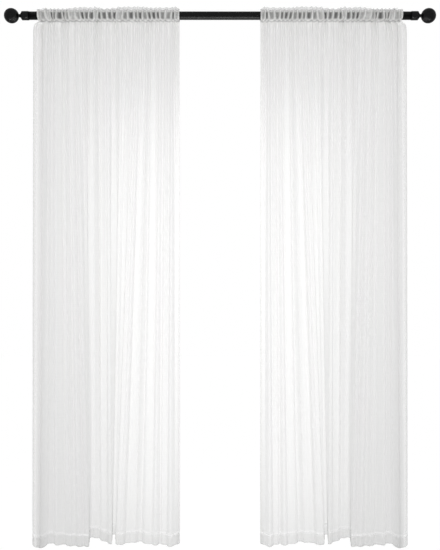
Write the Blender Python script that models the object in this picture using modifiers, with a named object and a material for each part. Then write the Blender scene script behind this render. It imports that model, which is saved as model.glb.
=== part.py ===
"""A pair of sheer voile curtains on a black rod with ball finials.

Each curtain is one length of cloth, gathered on the rod by a stitched rod pocket with a
short ruffle above it. It falls in fine gathers that run together into a few deep folds.
Metres, +Z up, +X along the rod, +Y towards the wall. The origin is the middle of the
rod's axis.
"""

import math

import bmesh
import bpy
import numpy as np

# Rod and its ends, from the middle of the rod outwards
ROD_RADIUS = 0.016
ROD_HALF = 0.775
ROD_SIDES = 32
CAP_RADIUS = 0.0175
CAP_START = 0.751
CAP_END = 0.784
CAP_CHAMFER = 0.006
CAP_NOSE_RADIUS = 0.009
FINIAL_CENTRE = 0.8195
FINIAL_RADIUS = 0.029
NECK_RADIUS = 0.0065
TURNED_STEPS = 24
BALL_STEPS = 9
GAP = 0.0003

# Curtain: the finished cloth, before it is gathered, and where it hangs
CLOTH_WIDTH = 1.067
CLOTH_THICKNESS = 0.0018
POCKET_OUTER = 0.711
POCKET_INNER = 0.159
PANEL_OUTER = 0.732
HEM_LEVEL = -2.071
LOWER_STITCH = -0.023
UPPER_STITCH = 0.020
RUFFLE_TOP = 0.0307

# Gathers on the rod, and how far down they last
GATHERS = 31
GATHER_SEED = 11
UNEVEN_WIDTH = 0.45
LEAST_HEIGHT = 0.60
MOST_LEAN = 0.0040
COLUMNS_PER_GATHER = 4
GATHER_DEPTH = 0.0094
GATHER_FADE = 0.26
RIDGE_SHARPNESS = 3.0
LEAN_FADE = 0.03
LAYER_SPACE = 0.0042
STEEP_SWING = 0.10
FOLD_GROWTH = 1.15
TROUGH_BREADTH = 1.15
FINE_SHARE = 0.30
SIDE_HEM = 0.035
SIDE_FLARE = 0.023
FLARE_SHARE = 0.10
FLARE_DROP = 0.008

# Levels of the drop that carry a row of points, from the hem up
DROP_LEVELS = (HEM_LEVEL, -1.30, -0.62, -0.22, -0.042)
# The pocket in section: angle round the rod's axis from straight ahead, and radius
POCKET_FRONT = ((-45, 0.0202), (0, 0.0185), (45, 0.0202))
POCKET_BACK = ((38, 0.0233), (-38, 0.0233))

# The folds at the hem, from the outer edge to the inner one. across is from the panel's
# outer edge, depth is towards the wall, turn is how broadly the fold turns, and lift is
# how much the hem rides up there.
FOLDS = (
    # name, across, depth, turn, lift
    ("outer_edge", 0.000, -0.018, 0.000, 0.000),
    ("outer_roll", 0.034, -0.050, 0.055, -0.006),
    ("roll_back", 0.062, -0.014, 0.045, 0.000),
    ("wide_front", 0.214, -0.047, 0.065, 0.000),
    ("tucked_back", 0.205, 0.062, 0.075, 0.000),
    ("slant_front", 0.307, -0.016, 0.040, 0.000),
    ("slit_left", 0.300, 0.064, 0.012, 0.010),
    ("slit_right", 0.311, 0.064, 0.012, 0.010),
    ("centre_front", 0.334, -0.028, 0.045, 0.000),
    ("centre_back", 0.404, 0.007, 0.085, 0.000),
    ("inner_front", 0.480, -0.028, 0.060, 0.000),
    ("narrow_slit", 0.498, -0.010, 0.016, 0.000),
    ("inner_roll", 0.540, -0.040, 0.060, 0.000),
    ("inner_edge", 0.574, -0.004, 0.000, 0.000),
)
FOLD_SAMPLES = 40
# Creases that run down the drop between the folds: where, as a share of the cloth's width
# from its outer edge, and how deep beside the others
CREASES = (
    # share, depth
    (0.050, 1.00),
    (0.111, 0.70),
    (0.167, 0.60),
    (0.214, 0.35),
    (0.250, 0.55),
    (0.303, 0.40),
    (0.353, 0.70),
    (0.416, 0.60),
    (0.467, 0.35),
    (0.522, 0.90),
    (0.592, 0.35),
    (0.655, 0.45),
    (0.696, 0.30),
    (0.734, 0.45),
    (0.793, 0.70),
    (0.842, 0.45),
    (0.882, 0.35),
    (0.921, 0.60),
    (0.972, 0.70),
)
# Height of the ruffle along the pocket, from its outer end to its inner end
RUFFLE_LINE = (
    # share, rise
    (0.00, -0.007),
    (0.03, 0.000),
    (0.07, -0.004),
    (0.20, -0.004),
    (0.25, 0.000),
    (0.32, 0.003),
    (0.36, 0.000),
    (0.40, 0.003),
    (0.46, -0.004),
    (0.52, -0.003),
    (0.57, 0.003),
    (0.72, 0.004),
    (0.80, 0.000),
    (0.94, 0.001),
    (0.98, 0.003),
    (1.00, -0.007),
)

BLACK = (0.012, 0.012, 0.013)
VOILE_WHITE = (0.86, 0.86, 0.85)


def clear_scene():
    for found in list(bpy.data.objects):
        bpy.data.objects.remove(found)


def make_material(name, colour, roughness, metallic):
    material = bpy.data.materials.new(name)
    material.use_nodes = True
    shader = material.node_tree.nodes["Principled BSDF"]
    shader.inputs["Base Color"].default_value = (*colour, 1.0)
    shader.inputs["Roughness"].default_value = roughness
    shader.inputs["Metallic"].default_value = metallic
    return material


def add_object(name, mesh, collection, material):
    made = bpy.data.objects.new(name, mesh)
    made.data.materials.append(material)
    collection.objects.link(made)
    return made


def make_rod(collection, material):
    """A straight round bar along X, with a flat of its faceted outline underneath."""
    bm = bmesh.new()
    bmesh.ops.create_cone(
        bm, cap_ends=True, segments=ROD_SIDES, radius1=ROD_RADIUS, radius2=ROD_RADIUS, depth=2 * ROD_HALF
    )
    mesh = bpy.data.meshes.new("rod")
    bm.to_mesh(mesh)
    bm.free()
    mesh.shade_smooth()
    mesh.set_sharp_from_angle(angle=math.radians(40))
    rod = add_object("rod", mesh, collection, material)
    rod.rotation_mode = "ZYX"
    rod.rotation_euler = (math.pi / ROD_SIDES, math.pi / 2, 0.0)
    return rod


def make_turned(name, profile, collection, material, side):
    """A turned piece on the rod's axis. profile has (distance from the rod's middle, radius)."""
    bm = bmesh.new()
    points = [bm.verts.new((radius, 0.0, along)) for along, radius in profile]
    for first, second in zip(points, points[1:]):
        bm.edges.new((first, second))
    mesh = bpy.data.meshes.new(name)
    bm.to_mesh(mesh)
    bm.free()
    made = add_object(name, mesh, collection, material)
    screw = made.modifiers.new("Turn", "SCREW")
    screw.steps = TURNED_STEPS
    screw.render_steps = TURNED_STEPS
    screw.use_merge_vertices = True
    screw.merge_threshold = 0.00001
    screw.use_smooth_shade = True
    made.rotation_euler = (0.0, side * math.pi / 2, 0.0)
    return made


def cap_profile():
    """The end cap: a sleeve over the rod's end, chamfered down to the neck of the finial."""
    bore = ROD_RADIUS + GAP
    return (
        (CAP_END, 0.0),
        (CAP_END, CAP_NOSE_RADIUS),
        (CAP_END - CAP_CHAMFER, CAP_RADIUS),
        (CAP_START, CAP_RADIUS),
        (CAP_START, bore),
        (ROD_HALF + GAP, bore),
        (ROD_HALF + GAP, 0.0),
    )


def finial_profile():
    """The ball with the short neck that stands on the end cap."""
    neck_angle = math.pi - math.asin(NECK_RADIUS / FINIAL_RADIUS)
    ball = []
    for step in range(BALL_STEPS + 1):
        angle = neck_angle * step / BALL_STEPS
        ball.append((FINIAL_CENTRE + FINIAL_RADIUS * math.cos(angle), FINIAL_RADIUS * math.sin(angle)))
    foot = CAP_END + GAP
    return (*ball, (foot, NECK_RADIUS), (foot, 0.0))


def uneven_gathers():
    """The ridges of the gathers: their places as shares of the width, heights and leans.

    No two gathers are alike, so these come from a seeded generator.
    """
    chance = np.random.default_rng(GATHER_SEED)
    widths = chance.uniform(1 - UNEVEN_WIDTH, 1 + UNEVEN_WIDTH, GATHERS)
    places = np.concatenate([[0.0], np.cumsum(widths) / widths.sum()])
    heights = chance.uniform(LEAST_HEIGHT, 1.0, GATHERS + 1)
    leans = chance.uniform(-MOST_LEAN, MOST_LEAN, GATHERS + 1)
    leans[0] = leans[-1] = 0.0
    return places, heights, leans


RIDGE_PLACES, RIDGE_HEIGHTS, RIDGE_LEANS = uneven_gathers()


def gather_count(share):
    """Gathers counted from the outer edge. A whole number is a ridge."""
    return np.interp(share, RIDGE_PLACES, range(GATHERS + 1))


def cloth_columns():
    """Where the columns of points lie across the cloth, as shares of its width."""
    wanted = np.arange(GATHERS * COLUMNS_PER_GATHER + 1) / COLUMNS_PER_GATHER
    return np.interp(wanted, range(GATHERS + 1), RIDGE_PLACES)


def gather_wave(share):
    """The gathers as a wave from about -1, on their narrow ridges, to about 1, between them."""
    height = np.interp(share, RIDGE_PLACES, RIDGE_HEIGHTS)
    return height * (1 - 2 * np.abs(np.cos(np.pi * gather_count(share))) ** RIDGE_SHARPNESS)


def ripple_wave(share):
    """Broader ripples below the gathers, with a trough at each crease and finer ones between."""
    places, depths = zip(*CREASES)
    last = len(CREASES)
    count = np.interp(share, (0.0, *places, 1.0), (0.5, *range(1, last + 1), last + 0.5))
    trough = 1 - 2 * np.abs(np.sin(np.pi * count)) ** TROUGH_BREADTH
    return np.interp(share, places, depths) * trough + FINE_SHARE * gather_wave(share)


def hem_line(share):
    """Across, depth and lift of the hem at each share of the cloth's width, along the folds."""
    step = np.linspace(0.0, 1.0, FOLD_SAMPLES, endpoint=False)
    ease = step * step * (3 - 2 * step)
    leave = step * (1 - step) ** 2
    arrive = -step * step * (1 - step)
    parts = []
    for (_, x0, y0, turn0, z0), (_, x1, y1, turn1, z1) in zip(FOLDS, FOLDS[1:]):
        across = x0 + (x1 - x0) * ease + turn0 * leave + turn1 * arrive
        parts.append(np.stack([across, y0 + (y1 - y0) * ease, z0 + (z1 - z0) * ease]))
    parts.append(np.array(FOLDS[-1][1:3] + FOLDS[-1][4:5])[:, None])
    line = np.concatenate(parts, axis=1)
    length = np.concatenate([[0.0], np.cumsum(np.hypot(*np.diff(line[:2], axis=1)))])
    return [np.interp(share * length[-1], length, row) for row in line]


def calm_sides(share):
    """How far the sheet swings across its width: hardly at all in the stitched side hems."""
    return np.clip(np.minimum(share, 1 - share) / SIDE_HEM, 0.15, 1.0)


def smoothed(line):
    """A line with its corners eased over a few columns."""
    return np.convolve(np.pad(line, 3, mode="edge"), np.ones(7) / 7, mode="valid")


def take_up(share, x, y, wave):
    """Swing a line to each side by the wave, as far as takes up the full width of the cloth.

    The swing is least on the steep sides of the folds and where they turn sharply.
    """
    along_x, along_y = np.gradient(smoothed(x)), np.gradient(smoothed(y))
    along = np.hypot(along_x, along_y)
    pace = smoothed(np.hypot(np.gradient(x), np.gradient(y)))
    wave = wave * (STEEP_SWING + (1 - STEEP_SWING) * (along_x / pace) ** 2) * calm_sides(share)
    least, most = 0.0, 0.05
    for _ in range(24):
        swing = (least + most) / 2
        swung_x = x - swing * wave * along_y / along
        swung_y = y + swing * wave * along_x / along
        if np.hypot(np.diff(swung_x), np.diff(swung_y)).sum() < CLOTH_WIDTH:
            least = swing
        else:
            most = swing
    return swung_x, swung_y


def heading_x(share, level):
    """How far along the rod, where the cloth is gathered on it. The gathers lean a little."""
    height = np.clip(level / UPPER_STITCH, -1, 1)
    fading = np.exp(np.minimum(level - LOWER_STITCH, 0.0) / LEAN_FADE)
    lean = np.interp(share, RIDGE_PLACES, RIDGE_LEANS) * height * fading
    return -POCKET_OUTER + (POCKET_OUTER - POCKET_INNER) * share + lean


def drop_row(share, level):
    """Points across the drop at one level, between the straight rod and the folded hem."""
    fall = (LOWER_STITCH - level) / (LOWER_STITCH - HEM_LEVEL)
    folded = fall**FOLD_GROWTH
    spread = 1 - math.exp(-(LOWER_STITCH - level) / FLARE_DROP)
    rod_x = heading_x(share, level) - SIDE_FLARE * spread * np.exp(-share / FLARE_SHARE)
    across, depth, lift = hem_line(share)
    x = rod_x + (across - PANEL_OUTER - rod_x) * folded
    y = depth * folded
    gathered = math.exp((level - LOWER_STITCH) / GATHER_FADE)
    wave = gathered * gather_wave(share) + (1 - gathered) * ripple_wave(share)
    x, y = take_up(share, x, y, wave)
    return np.stack([x, y, level + lift * fall**4], axis=1)


def pocket_row(share, angle, radius, facing):
    """Points across one side of the pocket. facing is -1 in front of the rod, 1 behind it."""
    turn = math.radians(angle)
    x = heading_x(share, radius * math.sin(turn))
    y = facing * (radius * math.cos(turn) + GATHER_DEPTH) + GATHER_DEPTH * gather_wave(share)
    return np.stack([x, y, np.full_like(x, radius * math.sin(turn))], axis=1)


def sewn_row(share, level, depth, facing):
    """Points across one layer where the two layers of the heading lie together."""
    x = heading_x(share, level)
    y = facing * LAYER_SPACE / 2 + depth * gather_wave(share)
    return np.stack([x, y, level * np.ones_like(x)], axis=1)


def ruffle_level(share):
    """The uneven top of the ruffle."""
    places, rises = zip(*RUFFLE_LINE)
    return RUFFLE_TOP + np.interp(share, places, rises) + 0.001 * gather_wave(share)


def curtain_rows(share):
    """All rows of points, from the hem up the front, over the ruffle and down the back."""
    rows = [drop_row(share, level) for level in DROP_LEVELS]
    rows.append(sewn_row(share, LOWER_STITCH, GATHER_DEPTH, -1))
    rows += [pocket_row(share, angle, radius, -1) for angle, radius in POCKET_FRONT]
    rows.append(sewn_row(share, UPPER_STITCH, GATHER_DEPTH, -1))
    rows.append(sewn_row(share, ruffle_level(share), GATHER_DEPTH, -1))
    rows.append(sewn_row(share, ruffle_level(share), GATHER_DEPTH, 1))
    rows.append(sewn_row(share, UPPER_STITCH, GATHER_DEPTH, 1))
    rows += [pocket_row(share, angle, radius, 1) for angle, radius in POCKET_BACK]
    rows.append(sewn_row(share, LOWER_STITCH, GATHER_DEPTH, 1))
    return rows


def make_curtain(name, side, collection, material):
    """One curtain as a sheet through its rows of points, thickened. side is -1 left, 1 right."""
    share = cloth_columns()
    rows = curtain_rows(share)
    bm = bmesh.new()
    bmesh.ops.create_grid(bm, x_segments=len(share) - 1, y_segments=len(rows) - 1, size=0.5)
    for vert in bm.verts:
        column = round((vert.co.x + 0.5) * (len(share) - 1))
        row = round((vert.co.y + 0.5) * (len(rows) - 1))
        x, y, z = rows[row][column]
        vert.co = (-side * x, y, z)
    mesh = bpy.data.meshes.new(name)
    bm.to_mesh(mesh)
    bm.free()
    mesh.shade_smooth()
    made = add_object(name, mesh, collection, material)
    solidify = made.modifiers.new("Cloth", "SOLIDIFY")
    solidify.thickness = CLOTH_THICKNESS
    solidify.offset = 0.0
    return made


def main():
    clear_scene()
    collection = bpy.data.collections.new("sheer_voile_curtains")
    bpy.context.scene.collection.children.link(collection)
    black = make_material("black_rod", BLACK, 0.35, 0.0)
    voile = make_material("white_voile", VOILE_WHITE, 0.9, 0.0)
    make_rod(collection, black)
    for name, side in (("left", -1), ("right", 1)):
        make_turned(f"end_cap_{name}", cap_profile(), collection, black, side)
        make_turned(f"finial_{name}", finial_profile(), collection, black, side)
        make_curtain(f"panel_{name}", side, collection, voile)


main()
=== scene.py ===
import math

import bmesh
import bpy
import numpy as np
from mathutils import Matrix, Vector


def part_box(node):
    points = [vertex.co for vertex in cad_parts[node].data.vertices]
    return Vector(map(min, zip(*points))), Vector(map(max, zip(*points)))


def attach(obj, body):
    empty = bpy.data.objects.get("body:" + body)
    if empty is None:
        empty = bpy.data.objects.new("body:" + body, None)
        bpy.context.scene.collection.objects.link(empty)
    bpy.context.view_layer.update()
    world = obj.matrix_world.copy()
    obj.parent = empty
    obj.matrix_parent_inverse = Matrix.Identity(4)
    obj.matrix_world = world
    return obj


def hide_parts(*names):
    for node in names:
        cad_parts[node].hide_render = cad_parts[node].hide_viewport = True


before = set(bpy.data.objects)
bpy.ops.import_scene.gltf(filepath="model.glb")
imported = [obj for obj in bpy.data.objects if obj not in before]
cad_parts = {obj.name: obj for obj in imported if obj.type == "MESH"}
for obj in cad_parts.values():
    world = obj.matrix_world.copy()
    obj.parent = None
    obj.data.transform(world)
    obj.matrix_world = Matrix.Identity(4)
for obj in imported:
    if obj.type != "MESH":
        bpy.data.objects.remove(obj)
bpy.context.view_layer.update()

# The rod: a straight round steel tube in black paint. It carries both curtains in their
# pockets, and its ends are pushed into the caps.
ROD_RADIUS = 0.016
ROD_WALL = 0.001
ROD_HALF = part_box("rod")[1][0]
ROD_SIDES = 96
PAINT_BLACK = (0.0015, 0.0015, 0.0018, 1.0)
PAINT_GREY = (0.0045, 0.0045, 0.005, 1.0)
PAINT_ROUGHNESS = 0.20
SMEAR_ROUGHNESS = 0.14
SMEAR_SCALE = 34.0
GRAIN_SCALE = 900.0
GRAIN_DEPTH = 0.0004


class Socket:
    """One output of a node. Sums on it are written as Python expressions."""

    def __init__(self, finish, output):
        self.finish = finish
        self.output = output

    def sum(self, operation, first, second):
        return self.finish.node("ShaderNodeMath", {"operation": operation}, {0: first, 1: second})

    def __add__(self, other):
        return self.sum("ADD", self, other)

    def __radd__(self, other):
        return self.sum("ADD", other, self)

    def __sub__(self, other):
        return self.sum("SUBTRACT", self, other)

    def __rsub__(self, other):
        return self.sum("SUBTRACT", other, self)

    def __mul__(self, other):
        return self.sum("MULTIPLY", self, other)

    def __rmul__(self, other):
        return self.sum("MULTIPLY", other, self)

    def __truediv__(self, other):
        return self.sum("DIVIDE", self, other)

    def __rtruediv__(self, other):
        return self.sum("DIVIDE", other, self)

    def __pow__(self, other):
        return self.sum("POWER", self, other)

    def size(self):
        return self.sum("ABSOLUTE", self, 0.0)

    def at_least(self, other):
        return self.sum("MAXIMUM", self, other)

    def at_most(self, other):
        return self.sum("MINIMUM", self, other)


class Finish:
    """A material, and the one way in which its nodes are made."""

    def __init__(self, owner):
        self.owner = owner
        owner.use_nodes = True
        self.tree = owner.node_tree
        self.tree.nodes.clear()

    def node(self, kind, settings=None, sockets=None, output=0):
        made = self.tree.nodes.new(kind)
        for name, value in (settings or {}).items():
            setattr(made, name, value)
        for name, value in (sockets or {}).items():
            if isinstance(value, Socket):
                self.tree.links.new(value.output, made.inputs[name])
            else:
                made.inputs[name].default_value = value
        if not len(made.outputs):
            return None
        return Socket(self, made.outputs[output])

    def blend(self, share, first, second):
        """A colour between two, by share."""
        return self.node(
            "ShaderNodeMix",
            {"data_type": "RGBA"},
            {"Factor": share, 6: first, 7: second},
            output=2,
        )


def black_paint(name):
    """Satin black paint: nearly even, with faint smears in its gloss and a trace of dust."""
    finish = Finish(bpy.data.materials.new(name))
    place = finish.node("ShaderNodeTexCoord", output="Object")
    smears = finish.node(
        "ShaderNodeTexNoise",
        None,
        {"Vector": place, "Scale": SMEAR_SCALE, "Detail": 3.0, "Roughness": 0.6},
    )
    grain = finish.node(
        "ShaderNodeTexNoise",
        None,
        {"Vector": place, "Scale": GRAIN_SCALE, "Detail": 2.0, "Roughness": 0.5},
    )
    bump = finish.node(
        "ShaderNodeBump", None, {"Height": grain, "Strength": 0.06, "Distance": GRAIN_DEPTH}
    )
    shader = finish.node(
        "ShaderNodeBsdfPrincipled",
        None,
        {
            "Base Color": finish.blend(smears, PAINT_BLACK, PAINT_GREY),
            "Roughness": PAINT_ROUGHNESS + SMEAR_ROUGHNESS * smears,
            "Specular IOR Level": 0.35,
            "Normal": bump,
        },
    )
    finish.node("ShaderNodeOutputMaterial", None, {"Surface": shader})
    return finish.owner


def finished_piece(name, mesh_maker, material):
    """A new piece at the origin, smooth shaded, from a bmesh that mesh_maker returns."""
    bm = mesh_maker()
    mesh = bpy.data.meshes.new(name)
    bm.to_mesh(mesh)
    bm.free()
    mesh.shade_smooth()
    piece = bpy.data.objects.new(name, mesh)
    bpy.context.scene.collection.objects.link(piece)
    mesh.materials.append(material)
    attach(piece, "root")
    return piece


def rod_tube():
    """The tube's outside, from one end of the rod to the other."""
    bm = bmesh.new()
    rim = bmesh.ops.create_circle(bm, segments=ROD_SIDES, radius=ROD_RADIUS)["verts"]
    placing = Matrix.Translation((-ROD_HALF, 0.0, 0.0)) @ Matrix.Rotation(math.pi / 2, 4, "Y")
    bmesh.ops.transform(bm, matrix=placing, verts=rim)
    drawn = bmesh.ops.extrude_edge_only(bm, edges=bm.edges[:])["geom"]
    far = [part for part in drawn if isinstance(part, bmesh.types.BMVert)]
    bmesh.ops.translate(bm, verts=far, vec=(2 * ROD_HALF, 0.0, 0.0))
    bmesh.ops.recalc_face_normals(bm, faces=bm.faces[:])
    if bm.faces[0].normal.dot(bm.faces[0].calc_center_median() * Vector((0, 1, 1))) < 0:
        bmesh.ops.reverse_faces(bm, faces=bm.faces[:])
    return bm


black = black_paint("black_satin_paint")
rod = finished_piece("painted_rod", rod_tube, black)
wall = rod.modifiers.new("Tube wall", "SOLIDIFY")
wall.thickness = ROD_WALL
wall.offset = -1.0
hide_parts("rod")

# The end caps: short turned sleeves in the same black paint, pushed over the rod's ends.
# Each has a rolled lip towards the curtain and a chamfer down to the neck of its finial.
CAP_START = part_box("end_cap_right")[0][0]
CAP_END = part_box("end_cap_right")[1][0]
CAP_RADIUS = 0.0175
CAP_BORE = 0.0163
CAP_LIP = 0.0012
CAP_CHAMFER = 0.0060
CAP_NOSE_RADIUS = 0.0090
NOSE_ROUND = 0.0008
CHAMFER_DIP = 0.0007
CHAMFER_EASE = 0.0012
FIT_SPACE = 0.0003
MERGE_DISTANCE = 0.000005
TURNED_STEPS = 96
SHARP_ANGLE = math.radians(50)


def turned(profile, side):
    """A mesh turned round the rod's axis. profile is (distance from the middle, radius)."""
    bm = bmesh.new()
    line = [bm.verts.new((side * along, 0.0, radius)) for along, radius in profile]
    edges = [bm.edges.new(pair) for pair in zip(line, line[1:])]
    bmesh.ops.spin(
        bm,
        geom=line + edges,
        cent=(0.0, 0.0, 0.0),
        axis=(1.0, 0.0, 0.0),
        angle=2 * math.pi,
        steps=TURNED_STEPS,
        use_merge=True,
    )
    bmesh.ops.remove_doubles(bm, verts=bm.verts[:], dist=MERGE_DISTANCE)
    bmesh.ops.recalc_face_normals(bm, faces=bm.faces[:])
    return bm


def rounded(centre, radius, start, end, steps):
    """Points on a round of a profile, between two angles in degrees from the rod's axis."""
    angles = np.radians(np.linspace(start, end, steps))
    return [(centre[0] + radius * math.cos(a), centre[1] + radius * math.sin(a)) for a in angles]


def cap_profile():
    """Half of a cap in section, from its nose round the outside to its bore."""
    lip_outside = rounded((CAP_START + CAP_LIP, CAP_RADIUS - CAP_LIP), CAP_LIP, 90, 180, 6)
    return [
        (CAP_END, 0.0),
        (CAP_END, CAP_NOSE_RADIUS - NOSE_ROUND),
        (CAP_END - NOSE_ROUND, CAP_NOSE_RADIUS),
        (CAP_END - CAP_CHAMFER, CAP_RADIUS - CHAMFER_DIP),
        (CAP_END - CAP_CHAMFER - CHAMFER_EASE, CAP_RADIUS),
        *lip_outside,
        (CAP_START, CAP_BORE),
        (ROD_HALF + FIT_SPACE, CAP_BORE),
        (ROD_HALF + FIT_SPACE, 0.0),
    ]


for side_name, side in (("left", -1), ("right", 1)):
    cap = finished_piece(
        f"turned_cap_{side_name}", lambda: turned(cap_profile(), side), black
    )
    cap.data.set_sharp_from_angle(angle=SHARP_ANGLE)
    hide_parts(f"end_cap_{side_name}")

# The finials: turned balls in the same black paint, each with a short neck that stands in
# the nose of its cap.
BALL_RADIUS = 0.029
BALL_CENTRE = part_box("finial_right")[1][0] - BALL_RADIUS
NECK_RADIUS = 0.0065
NECK_FILLET = 0.0022
NECK_FOOT = 0.0004
BALL_STEPS = 40


def finial_profile():
    """Half of a finial in section: the ball, the hollow round under it, and the neck."""
    hollow_level = NECK_RADIUS + NECK_FILLET
    meets = 180 - math.degrees(math.asin(hollow_level / (BALL_RADIUS + NECK_FILLET)))
    ball = rounded((BALL_CENTRE, 0.0), BALL_RADIUS, 0, meets, BALL_STEPS)
    reach = (BALL_RADIUS + NECK_FILLET) * math.cos(math.radians(meets))
    hollow = rounded((BALL_CENTRE + reach, hollow_level), NECK_FILLET, meets - 180, -90, 6)
    foot = CAP_END + FIT_SPACE
    neck = [(max(along, foot + NECK_FOOT), radius) for along, radius in hollow[1:]]
    return [(ball[0][0], 0.0), *ball[1:], *neck, (foot, NECK_RADIUS), (foot, 0.0)]


for side_name, side in (("left", -1), ("right", 1)):
    finial = finished_piece(
        f"turned_finial_{side_name}", lambda: turned(finial_profile(), side), black
    )
    finial.data.set_sharp_from_angle(angle=SHARP_ANGLE)
    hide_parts(f"finial_{side_name}")

# The curtains: one length of white voile each, with a plain weave of fine yarn. The sides
# and the foot are turned to the back and stitched, and the top is turned over into a rod
# pocket with a ruffle above it. The pocket is gathered up on the rod.
CLOTH_WIDTH = 1.067
SIDE_HEM = 0.025
FOOT_HEM = 0.045
TURNED_SPACE = 0.0011
LAYER_SPACE = 0.0042
# Where the cloth hangs: distances along the rod from its middle, and levels from its axis
POCKET_OUTER = 0.711
POCKET_INNER = 0.159
PANEL_OUTER = 0.732
HEM_LEVEL = -2.071
LOWER_STITCH = -0.023
UPPER_STITCH = 0.020
RUFFLE_TOP = 0.0307
# The gathers on the rod, and how they lean and fade out below it
GATHERS = 31
GATHER_SEED = 11
UNEVEN_WIDTH = 0.45
LEAST_HEIGHT = 0.60
MOST_LEAN = 0.0040
MOST_CLOSED = 0.8
GATHER_DEPTH = 0.0094
GATHER_FADE = 0.26
RIDGE_SHARPNESS = 3.0
LEAN_FADE = 0.03
RUFFLE_DIP = 0.001
RUFFLE_SWELL = 0.1
# How closely the cloth is bunched: on the ridges, in the gaps between them, at the pocket's
# ends, and drawn together just below its lower stitch line
BUNCH_SHARPNESS = 3.2
BUNCH_LEVEL = -0.003
BUNCH_REACH = 0.018
BUNCH_FADE = 0.001
GAP_LEVEL = -0.005
GAP_REACH = 0.0095
GAP_BLEND = 0.004
TIGHT_END = 0.012
DRAWN_TOP = 0.65
DRAWN_FADE = 0.08
# The drop between the rod and the foot
FOLD_GROWTH = 1.15
LIFT_GROWTH = 4
TROUGH_BREADTH = 1.7
FINE_SHARE = 0.20
SIDE_FLARE = 0.023
FLARE_SHARE = 0.10
FLARE_DROP = 0.008
STEEP_SWING = 0.10
MOST_SWING = 0.05
SWING_HALVINGS = 24
CALM_EDGE = 0.037
LEAST_CALM = 0.15
# Columns and rows of the sheet
COLUMNS_ACROSS = 496
SMOOTHING_REACH = COLUMNS_ACROSS // 40
SIDE_HEM_COLUMNS = 3
FOLD_SAMPLES = 120
NEAR_TOP_DROP = 0.40
NEAR_TOP_CROWDING = 1.6
NEAR_TOP_ROWS = 34
DROP_ROWS = 58
FOOT_HEM_SPACE = 0.006
FOOT_HEM_ROWS = 8
POCKET_FRONT_ROWS = 17
POCKET_BACK_ROWS = 12

# The folds at the foot, from the outer edge to the inner one. across is from the outer
# edge, depth is towards the back, turn is how broadly the fold turns, and lift is how much
# the foot rides up there.
FOLDS = (
    # name, across, depth, turn, lift
    ("outer_edge", 0.000, -0.018, 0.000, 0.000),
    ("outer_roll", 0.034, -0.050, 0.055, -0.006),
    ("roll_back", 0.062, -0.014, 0.045, 0.000),
    ("wide_front", 0.217, -0.047, 0.060, 0.000),
    ("tucked_back", 0.219, 0.062, 0.060, 0.000),
    ("slant_front", 0.307, -0.016, 0.026, 0.000),
    ("slit_left", 0.300, 0.064, 0.012, 0.010),
    ("slit_right", 0.311, 0.064, 0.012, 0.010),
    ("centre_front", 0.334, -0.028, 0.045, 0.000),
    ("centre_back", 0.404, 0.007, 0.085, 0.000),
    ("inner_front", 0.480, -0.028, 0.060, 0.000),
    ("narrow_slit", 0.498, -0.010, 0.016, 0.000),
    ("inner_roll", 0.540, -0.040, 0.060, 0.000),
    ("inner_edge", 0.574, -0.004, 0.000, 0.000),
)
# Creases that run down the drop between the folds: where, as a share of the cloth's width
# from its outer edge, and how deep beside the others
CREASES = (
    # share, depth
    (0.050, 1.00),
    (0.111, 0.70),
    (0.167, 0.60),
    (0.214, 0.35),
    (0.250, 0.55),
    (0.303, 0.40),
    (0.353, 0.70),
    (0.416, 0.60),
    (0.467, 0.35),
    (0.522, 0.90),
    (0.592, 0.35),
    (0.655, 0.45),
    (0.696, 0.30),
    (0.734, 0.45),
    (0.793, 0.70),
    (0.842, 0.45),
    (0.882, 0.35),
    (0.921, 0.60),
    (0.972, 0.70),
)
# Height of the ruffle along the pocket, from its outer end to its inner end
RUFFLE_LINE = (
    # share, rise
    (0.00, -0.007),
    (0.03, 0.000),
    (0.07, -0.004),
    (0.20, -0.004),
    (0.25, 0.000),
    (0.32, 0.003),
    (0.36, 0.000),
    (0.40, 0.003),
    (0.46, -0.004),
    (0.52, -0.003),
    (0.57, 0.003),
    (0.72, 0.004),
    (0.80, 0.000),
    (0.94, 0.001),
    (0.98, 0.003),
    (1.00, -0.007),
)
# The pocket in section, from its lower stitch line up the front, and down the back
POCKET_FRONT = (
    # depth, level
    (-0.0021, LOWER_STITCH),
    (-0.0235, -0.0145),
    (-0.0278, 0.0000),
    (-0.0235, 0.0145),
    (-0.0021, UPPER_STITCH),
)
POCKET_BACK = (
    # depth, level
    (0.0021, UPPER_STITCH),
    (0.0276, 0.0145),
    (0.0276, -0.0145),
    (0.0021, LOWER_STITCH),
)


def uneven_gathers():
    """The ridges of the gathers: their places as shares of the width, heights and leans.

    The last list is how far each gap between them is closed. No two gathers are alike, so
    these come from a seeded generator.
    """
    chance = np.random.default_rng(GATHER_SEED)
    widths = chance.uniform(1 - UNEVEN_WIDTH, 1 + UNEVEN_WIDTH, GATHERS)
    places = np.concatenate([[0.0], np.cumsum(widths) / widths.sum()])
    heights = chance.uniform(LEAST_HEIGHT, 1.0, GATHERS + 1)
    leans = chance.uniform(-MOST_LEAN, MOST_LEAN, GATHERS + 1)
    leans[0] = leans[-1] = 0.0
    closed = MOST_CLOSED * chance.uniform(0.0, 1.0, GATHERS) ** 2
    return places, heights, leans, closed


RIDGE_PLACES, RIDGE_HEIGHTS, RIDGE_LEANS, GAPS_CLOSED = uneven_gathers()


def gather_count(share):
    """Gathers counted from the outer edge. A whole number is a ridge."""
    return np.interp(share, RIDGE_PLACES, range(GATHERS + 1))


def gather_wave(share):
    """The gathers as a wave from about -1, on their narrow ridges, to about 1, between them."""
    height = np.interp(share, RIDGE_PLACES, RIDGE_HEIGHTS)
    return height * (1 - 2 * np.abs(np.cos(np.pi * gather_count(share))) ** RIDGE_SHARPNESS)


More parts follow.
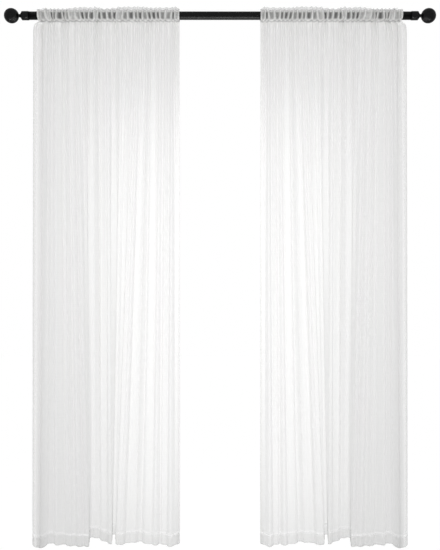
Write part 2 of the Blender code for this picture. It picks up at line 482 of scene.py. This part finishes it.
def ripple_wave(share):
    """Broader ripples below the gathers, with a trough at each crease and finer ones between."""
    places, depths = zip(*CREASES)
    last = len(CREASES)
    count = np.interp(share, (0.0, *places, 1.0), (0.5, *range(1, last + 1), last + 0.5))
    trough = 1 - 2 * np.abs(np.sin(np.pi * count)) ** TROUGH_BREADTH
    return np.interp(share, places, depths) * trough + FINE_SHARE * gather_wave(share)


def bunching(share, level):
    """How closely the cloth is bunched round the rod, from 0 to 1. It is most on the ridges.

    Just below the lower stitch line the cloth is still drawn together a little.
    """
    count = gather_count(share)
    closed = GAPS_CLOSED[np.minimum(count.astype(int), GATHERS - 1)]
    ridge = np.abs(np.cos(np.pi * count)) ** BUNCH_SHARPNESS
    bunched = closed + (1 - closed) * ridge
    past_gap = np.clip((np.abs(level - GAP_LEVEL) - GAP_REACH) / GAP_BLEND, 0, 1)
    bunched = np.maximum(bunched, past_gap)
    bunched = np.where(np.minimum(share, 1 - share) < TIGHT_END, 1.0, bunched)
    beyond = np.maximum(np.abs(level - BUNCH_LEVEL) - BUNCH_REACH, 0.0)
    bunched = bunched * np.exp(-beyond / BUNCH_FADE)
    below = np.minimum(level - LOWER_STITCH, 0.0)
    return np.where(below < 0, DRAWN_TOP * np.exp(below / DRAWN_FADE), bunched)


def smoothed(line):
    """A line with its corners eased over a few columns."""
    span = 2 * SMOOTHING_REACH + 1
    padded = np.pad(line, SMOOTHING_REACH, mode="edge")
    return np.convolve(padded, np.ones(span) / span, "valid")


def hem_line(share):
    """Across, depth and lift of the foot at each share of the cloth's width, along the folds."""
    step = np.linspace(0.0, 1.0, FOLD_SAMPLES, endpoint=False)
    ease = step * step * (3 - 2 * step)
    leave = step * (1 - step) ** 2
    arrive = -step * step * (1 - step)
    parts = []
    for (_, x0, y0, turn0, z0), (_, x1, y1, turn1, z1) in zip(FOLDS, FOLDS[1:]):
        across = x0 + (x1 - x0) * ease + turn0 * leave + turn1 * arrive
        parts.append(np.stack([across, y0 + (y1 - y0) * ease, z0 + (z1 - z0) * ease]))
    parts.append(np.array(FOLDS[-1][1:3] + FOLDS[-1][4:5])[:, None])
    line = np.concatenate(parts, axis=1)
    length = np.concatenate([[0.0], np.cumsum(np.hypot(*np.diff(line[:2], axis=1)))])
    return [np.interp(share * length[-1], length, row) for row in line]


def take_up(share, x, y, wave):
    """Swing a line to each side by the wave, as far as takes up the full width of the cloth.

    The swing is least near the side edges, on the steep sides of the folds and where they
    turn sharply.
    """
    along_x = np.gradient(smoothed(x))
    along_y = np.gradient(smoothed(y))
    along = np.hypot(along_x, along_y)
    pace = smoothed(np.hypot(np.gradient(x), np.gradient(y)))
    from_edge = np.minimum(share, 1 - share) * CLOTH_WIDTH
    calm = np.clip(from_edge / CALM_EDGE, LEAST_CALM, 1.0)
    wave = wave * (STEEP_SWING + (1 - STEEP_SWING) * (along_x / pace) ** 2) * calm
    least, most = 0.0, MOST_SWING
    for _ in range(SWING_HALVINGS):
        swing = (least + most) / 2
        swung_x = x - swing * wave * along_y / along
        swung_y = y + swing * wave * along_x / along
        if np.hypot(np.diff(swung_x), np.diff(swung_y)).sum() < CLOTH_WIDTH:
            least = swing
        else:
            most = swing
    return swung_x, swung_y


def heading_x(share, level):
    """How far along the rod, where the cloth is gathered on it. The gathers lean a little."""
    height = np.clip(level / UPPER_STITCH, -1, 1)
    fading = np.exp(np.minimum(level - LOWER_STITCH, 0.0) / LEAN_FADE)
    lean = np.interp(share, RIDGE_PLACES, RIDGE_LEANS) * height * fading
    return -POCKET_OUTER + (POCKET_OUTER - POCKET_INNER) * share + lean


def drop_row(share, level):
    """Points across the drop at one level, between the straight rod and the folded foot.

    The outer side flares out just below the pocket.
    """
    fall = (LOWER_STITCH - level) / (LOWER_STITCH - HEM_LEVEL)
    folded = fall**FOLD_GROWTH
    spread = 1 - math.exp(-(LOWER_STITCH - level) / FLARE_DROP)
    rod_x = heading_x(share, level) - SIDE_FLARE * spread * np.exp(-share / FLARE_SHARE)
    across, depth, lift = hem_line(share)
    x = rod_x + (across - PANEL_OUTER - rod_x) * folded
    gathered = math.exp((level - LOWER_STITCH) / GATHER_FADE)
    wave = gathered * gather_wave(share) + (1 - gathered) * ripple_wave(share)
    x, y = take_up(share, x, depth * folded, wave)
    return np.stack([x, y, level + lift * fall**LIFT_GROWTH], axis=1)


def through(section, count):
    """A smooth line through the points of a section, as (depth, level) pairs."""
    points = np.array([section[0], *section, section[-1]])
    line = []
    for step in np.linspace(0, len(section) - 1, count):
        at = min(int(step), len(section) - 2)
        t = step - at
        p0, p1, p2, p3 = points[at : at + 4]
        bend = 2 * p1 + (p2 - p0) * t + (2 * p0 - 5 * p1 + 4 * p2 - p3) * t**2
        line.append(0.5 * (bend + (3 * p1 - 3 * p2 + p3 - p0) * t**3))
    return line


def gathered_row(share, depth, level, swell=1.0):
    """Points across the heading, where the cloth is gathered on the straight rod."""
    y = depth + GATHER_DEPTH * swell * gather_wave(share)
    return np.stack([heading_x(share, level), y, level + 0 * share], axis=1)


def ruffle_level(share):
    """The uneven top of the ruffle, which dips a little between the gathers."""
    places, rises = zip(*RUFFLE_LINE)
    return RUFFLE_TOP + np.interp(share, places, rises) + RUFFLE_DIP * gather_wave(share)


def ruffle_row(share, depth, up):
    """Points across one layer of the ruffle, at a share of the way up it."""
    level = UPPER_STITCH + (ruffle_level(share) - UPPER_STITCH) * up
    return gathered_row(share, depth, level, 1 + RUFFLE_SWELL * up)


def curtain_rows(share):
    """Rows of points from the raw edge behind the foot, up the front and down the back.

    Each row is (points, side of the cloth that faces inwards, layers turned behind it).
    """
    crowding = np.linspace(0, 1, NEAR_TOP_ROWS)[1:] ** NEAR_TOP_CROWDING
    near_top = LOWER_STITCH - NEAR_TOP_DROP * crowding
    lower = np.linspace(near_top[-1], HEM_LEVEL + FOOT_HEM + FOOT_HEM_SPACE, DROP_ROWS)[1:]
    hem = HEM_LEVEL + np.linspace(FOOT_HEM, 0, FOOT_HEM_ROWS)
    drop = [*near_top, *lower, *hem]
    rows = [(drop_row(share, level), 1, 1) for level in hem]
    rows += [(drop_row(share, level), 1, 0) for level in reversed(drop)]
    for place in through(POCKET_FRONT, POCKET_FRONT_ROWS):
        rows.append((gathered_row(share, *place), 1, 0))
    for up in (0.33, 0.67, 1.0):
        rows.append((ruffle_row(share, -LAYER_SPACE / 2, up), 1, 0))
    for up in (1.0, 0.5):
        rows.append((ruffle_row(share, LAYER_SPACE / 2, up), -1, 0))
    for place in through(POCKET_BACK, POCKET_BACK_ROWS):
        rows.append((gathered_row(share, *place), -1, 0))
    return rows


def curtain_sheet(side):
    """The curtain as a grid moved onto its rows, with the side hems turned to the back.

    Its UV map is the flat cloth in metres, from the outer edge and the foot. Below zero, or
    past the inner edge, is what the hems turn back.
    """
    hem_share = SIDE_HEM / CLOTH_WIDTH
    front = np.linspace(0.0, 1.0, COLUMNS_ACROSS + 1)
    turned_in = np.linspace(hem_share, 0.0, SIDE_HEM_COLUMNS)
    share = np.concatenate([turned_in, front, 1 - turned_in[::-1]])
    behind = np.zeros(len(share))
    behind[:SIDE_HEM_COLUMNS] = 1
    behind[-SIDE_HEM_COLUMNS:] = 1
    rows = curtain_rows(front)
    bm = bmesh.new()
    bmesh.ops.create_grid(bm, x_segments=len(share) - 1, y_segments=len(rows) - 1, size=0.5)
    cloth_uv = bm.loops.layers.uv.new("cloth")
    tightness = bm.verts.layers.float.new("bunching")
    points = []
    for row, inward, layers in rows:
        across = np.gradient(row[:, :2], axis=0)
        across /= np.hypot(across[:, 0], across[:, 1])[:, None]
        away = np.stack([-across[:, 1], across[:, 0], 0 * front], axis=1) * inward
        placed = np.stack([np.interp(share, front, row[:, axis]) for axis in range(3)], axis=1)
        moved = np.stack([np.interp(share, front, away[:, axis]) for axis in range(3)], axis=1)
        points.append(placed + moved * (behind + layers)[:, None] * TURNED_SPACE)
    points = np.array(points)
    bunched = bunching(np.where(behind > 0, hem_share, share), points[:, :, 2])
    lengths = np.linalg.norm(np.diff(points, axis=0), axis=2).mean(axis=1)
    up = np.concatenate([[0.0], np.cumsum(lengths)]) - FOOT_HEM
    width = np.where(behind > 0, -1, 1) * np.minimum(share, 1 - share)
    width = np.where(share < 0.5, width, 1 - width) * CLOTH_WIDTH
    for vert in bm.verts:
        column = round((vert.co.x + 0.5) * (len(share) - 1))
        row = round((vert.co.y + 0.5) * (len(rows) - 1))
        x, y, z = points[row, column]
        vert.co = (-side * x, y, z)
        vert[tightness] = bunched[row, column]
        for loop in vert.link_loops:
            loop[cloth_uv].uv = (width[column], up[row])
    if side == 1:
        bmesh.ops.reverse_faces(bm, faces=bm.faces[:])
    return bm


VOILE_COLOUR = (0.92, 0.92, 0.915, 1.0)
VOILE_WARM = (0.90, 0.895, 0.88, 1.0)
MOTTLE_SCALE = 5.0
# How much of what is behind a layer its yarn covers, from 0 to 1
DROP_COVER = 0.50
HEADING_COVER = 0.26
BUNCHED_COVER = 0.92
HEADING_FOOT = 2.035
HEADING_BLEND = 0.02
LEAST_WEAVE = 0.90
WEAVE_RANGE = 0.2
WEAVE_DEPTH = 0.0004
# The turned layers of the hems are thinned, so that a hem is only a little denser, and the
# line of stitches along the foot hem lets more light through
TURNED_SHARE = 0.25
TURNED_SHARPNESS = 1000
STITCH_COVER = 0.24
STITCH_WIDTH = 0.0065
# Two bands beside the outer edge, painted into the cover: a clearer one, a painted highlight on the
# outer roll, and then a denser one, a painted shade of the fold beside it
EDGE_HIGHLIGHT_AND_SHADE_BANDS = (
    # place from the edge, reach, added cover
    (0.020, 0.018, -0.26),
    (0.056, 0.030, 0.13),
)
LEAST_SLANT = 0.25
SLANT_POWER = 0.05
# How much of the light on a layer passes through it and glows on its other side
GLOW_SHARE = 0.5
BUNCHED_GLOW = 0.15
# How often the yarns' thickness changes across the cloth and down it, to the metre: first
# in the warp, then in the weft
SLUB_RATES = (
    # across, down, off the cloth
    (500.0, 12.0, 1.0),
    (10.0, 500.0, 1.0),
)


def voile(name):
    """Sheer plain weave. A layer covers more where it is bunched or seen at a slant."""
    finish = Finish(bpy.data.materials.new(name))
    cloth = finish.node("ShaderNodeUVMap", {"uv_map": "cloth"})
    across = finish.node("ShaderNodeSeparateXYZ", None, {"Vector": cloth}, output="X")
    along = finish.node("ShaderNodeSeparateXYZ", None, {"Vector": cloth}, output="Y")
    slubs = []
    for rates in SLUB_RATES:
        yarns = finish.node("ShaderNodeVectorMath", {"operation": "MULTIPLY"}, {0: cloth, 1: rates})
        slubs.append(
            finish.node("ShaderNodeTexNoise", None, {"Vector": yarns, "Scale": 1.0, "Detail": 2.0})
        )
    mottle = finish.node(
        "ShaderNodeTexNoise", None, {"Vector": cloth, "Scale": MOTTLE_SCALE, "Detail": 3.0}
    )
    weave = (slubs[0] + slubs[1]) * 0.5
    heading = ((along - HEADING_FOOT) / HEADING_BLEND).at_least(0.0).at_most(1.0)
    inside_edges = along.at_most(across).at_most(CLOTH_WIDTH - across)
    turned_layer = (inside_edges * -TURNED_SHARPNESS).at_least(0.0).at_most(1.0)
    stitch = (1 - (along - FOOT_HEM).size() / STITCH_WIDTH).at_least(0.0) * (2 * mottle)
    tightness = finish.node("ShaderNodeAttribute", {"attribute_name": "bunching"}, output="Fac")
    loose = DROP_COVER + (HEADING_COVER - DROP_COVER) * heading
    yarn = loose + (BUNCHED_COVER - loose) * tightness
    woven = yarn * (LEAST_WEAVE + WEAVE_RANGE * weave)
    cover = woven * (1 - (1 - TURNED_SHARE) * turned_layer) - stitch * STITCH_COVER
    # Painted highlight and painted shade beside the outer edge, as less and then more cover
    for place, reach, added in EDGE_HIGHLIGHT_AND_SHADE_BANDS:
        cover = cover + (1 - (across - place).size() / reach).at_least(0.0) * added
    facing = finish.node("ShaderNodeLayerWeight", None, {"Blend": 0.5}, output="Facing")
    slant = (1 - facing).at_least(LEAST_SLANT)
    thickening = (1 / slant) ** SLANT_POWER
    opacity = 1 - (1 - cover) ** thickening
    bump = finish.node(
        "ShaderNodeBump", None, {"Height": weave, "Strength": 0.25, "Distance": WEAVE_DEPTH}
    )
    shader = finish.node(
        "ShaderNodeBsdfPrincipled",
        None,
        {
            "Base Color": finish.blend(mottle, VOILE_COLOUR, VOILE_WARM),
            "Roughness": 0.75,
            "Specular IOR Level": 0.2,
            "Sheen Weight": 0.15,
            "Normal": bump,
        },
    )
    glow = finish.node("ShaderNodeBsdfTranslucent", None, {"Color": VOILE_COLOUR, "Normal": bump})
    glow_share = GLOW_SHARE + (BUNCHED_GLOW - GLOW_SHARE) * tightness
    lit = finish.node("ShaderNodeMixShader", None, {0: glow_share, 1: shader, 2: glow})
    clear = finish.node("ShaderNodeBsdfTransparent")
    seen = finish.node("ShaderNodeMixShader", None, {0: opacity, 1: clear, 2: lit})
    finish.node("ShaderNodeOutputMaterial", None, {"Surface": seen})
    return finish.owner


white_voile = voile("white_voile_weave")
for side_name, side in (("left", -1), ("right", 1)):
    curtain = finished_piece(
        f"curtain_{side_name}", lambda: curtain_sheet(side), white_voile
    )
    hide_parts(f"panel_{side_name}")

# The floor: pale and plain, below the curtains. It isn't part of the object.
FLOOR_LEVEL = -2.20
FLOOR_HALF = 8.0
FLOOR_COLOUR = (0.10, 0.10, 0.10, 1.0)
FLOOR_GLOW = (0.22, 0.22, 0.22, 1.0)
FLOOR_WHITE = (0.95, 0.95, 0.95, 1.0)

floor_mesh = bmesh.new()
bmesh.ops.create_grid(floor_mesh, x_segments=1, y_segments=1, size=FLOOR_HALF)
bmesh.ops.translate(floor_mesh, verts=floor_mesh.verts[:], vec=(0.0, 0.0, FLOOR_LEVEL))
floor_data = bpy.data.meshes.new("floor")
floor_mesh.to_mesh(floor_data)
floor_mesh.free()
floor = bpy.data.objects.new("floor", floor_data)
bpy.context.scene.collection.objects.link(floor)
pale = Finish(bpy.data.materials.new("pale_floor"))
seen_from_camera = pale.node("ShaderNodeLightPath", output="Is Camera Ray")
pale_shader = pale.node(
    "ShaderNodeBsdfPrincipled",
    None,
    {
        "Base Color": FLOOR_COLOUR,
        "Roughness": 0.9,
        "Emission Color": pale.blend(seen_from_camera, FLOOR_GLOW, FLOOR_WHITE),
        "Emission Strength": 1.0,
    },
)
pale.node("ShaderNodeOutputMaterial", None, {"Surface": pale_shader})
floor_data.materials.append(pale.owner)

# Light and camera: a white studio, broad soft lamps in front of the cloth and behind it,
# narrow ones for the pocket and for the gloss of the rod, and a camera straight in front,
# level with the middle of the curtains.
SKY_GLOW = 0.32
POCKET_LAMP_SPREAD = 0.6
CAMERA_DISTANCE = 3.0
CAMERA_LEVEL = -1.019
VIEW_HEIGHT = 2.1615
SENSOR = 36.0

studio = bpy.data.worlds.new("studio")
bpy.context.scene.world = studio
sky = Finish(studio)
seen_straight = sky.node("ShaderNodeLightPath", output="Is Camera Ray")
strength = SKY_GLOW + (1 - SKY_GLOW) * seen_straight
backdrop = sky.node(
    "ShaderNodeBackground", None, {"Color": (1.0, 1.0, 1.0, 1.0), "Strength": strength}
)
sky.node("ShaderNodeOutputWorld", None, {"Surface": backdrop})


def soft_lamp(name, place, target, size, power):
    """An area lamp that faces its target and is itself out of sight."""
    data = bpy.data.lights.new(name, "AREA")
    data.shape = "RECTANGLE"
    data.size, data.size_y = size
    data.energy = power
    lamp = bpy.data.objects.new(name, data)
    lamp.location = place
    lamp.rotation_euler = (Vector(target) - Vector(place)).to_track_quat("-Z", "Y").to_euler()
    lamp.visible_camera = False
    bpy.context.scene.collection.objects.link(lamp)
    return lamp


wide_lamp = soft_lamp("wide_lamp", (0.0, -1.6, -0.6), (0.0, 0.0, -0.6), (3.2, 1.2), 22.0)
middle_lamp = soft_lamp("middle_lamp", (0.0, -1.0, -1.05), (0.0, 0.0, -1.05), (0.8, 1.2), 4.0)
under_lamp = soft_lamp("under_lamp", (0.0, -0.36, -1.05), (0.0, 0.0, 0.0), (2.0, 0.12), 0.22)
over_lamp = soft_lamp("over_lamp", (0.0, -0.9, 0.25), (0.0, 0.0, 0.03), (2.0, 0.2), 0.18)
for lamp in (wide_lamp, middle_lamp, under_lamp, over_lamp):
    lamp.visible_glossy = False
for lamp in (under_lamp, over_lamp):
    lamp.data.spread = POCKET_LAMP_SPREAD
soft_lamp("back_lamp", (0.0, 0.25, -1.20), (0.0, 0.0, -1.20), (1.0, 1.7), 5.7)
# This one gives the rod its line of gloss and doesn't light the cloth.
rod_lamp = soft_lamp("rod_lamp", (0.0, -0.36, -1.05), (0.0, 0.0, 0.0), (2.2, 0.12), 20.0)
rod_lamp.visible_diffuse = False
rod_lamp.visible_transmission = False

camera_data = bpy.data.cameras.new("camera")
camera_data.sensor_width = SENSOR
camera_data.lens = SENSOR * CAMERA_DISTANCE / VIEW_HEIGHT
camera = bpy.data.objects.new("camera", camera_data)
camera.location = (0.0, -CAMERA_DISTANCE, CAMERA_LEVEL)
camera.rotation_euler = (math.pi / 2, 0.0, 0.0)
bpy.context.scene.collection.objects.link(camera)
bpy.context.scene.camera = camera
bpy.context.scene.view_settings.view_transform = "Standard"
